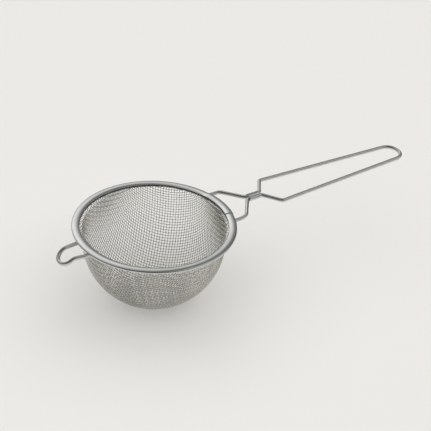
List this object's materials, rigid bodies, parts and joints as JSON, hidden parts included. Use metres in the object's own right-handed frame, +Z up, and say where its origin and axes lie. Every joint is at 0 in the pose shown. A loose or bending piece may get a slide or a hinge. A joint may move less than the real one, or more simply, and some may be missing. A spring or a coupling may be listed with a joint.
{
  "type": "tea strainer",
  "caption": "Hand-held tea strainer with a round woven wire bowl, a folded rim band, a looped wire handle held by a crimped sleeve, and a small wire hook that rests on the cup.",
  "frame": {"origin": "centre of the rim, level with the top of the rim band", "axes": "+Z up along the bowl's axis, +X along the handle towards its tip, +Y to the left of the handle"},
  "size_m": [0.2031, 0.08, 0.0447],
  "materials": {
    "wire_cloth": "bright drawn stainless wire cloth, satin",
    "rim_band": "polished stainless strip with fine rolling lines",
    "handle_wire": "polished stainless wire with drawing lines",
    "sleeve": "satin stainless, pressed flat",
    "hook_wire": "polished stainless wire with drawing lines",
    "welds": "dull pickled weld metal"
  },
  "bodies": {
    "root": {"mesh_bowl": "wire_cloth", "rim_band": "rim_band", "handle_wire": "handle_wire", "sleeve": "sleeve", "hook_wire": "hook_wire", "handle_welds": "welds", "hook_welds": "welds"}
  },
  "joints": []
}
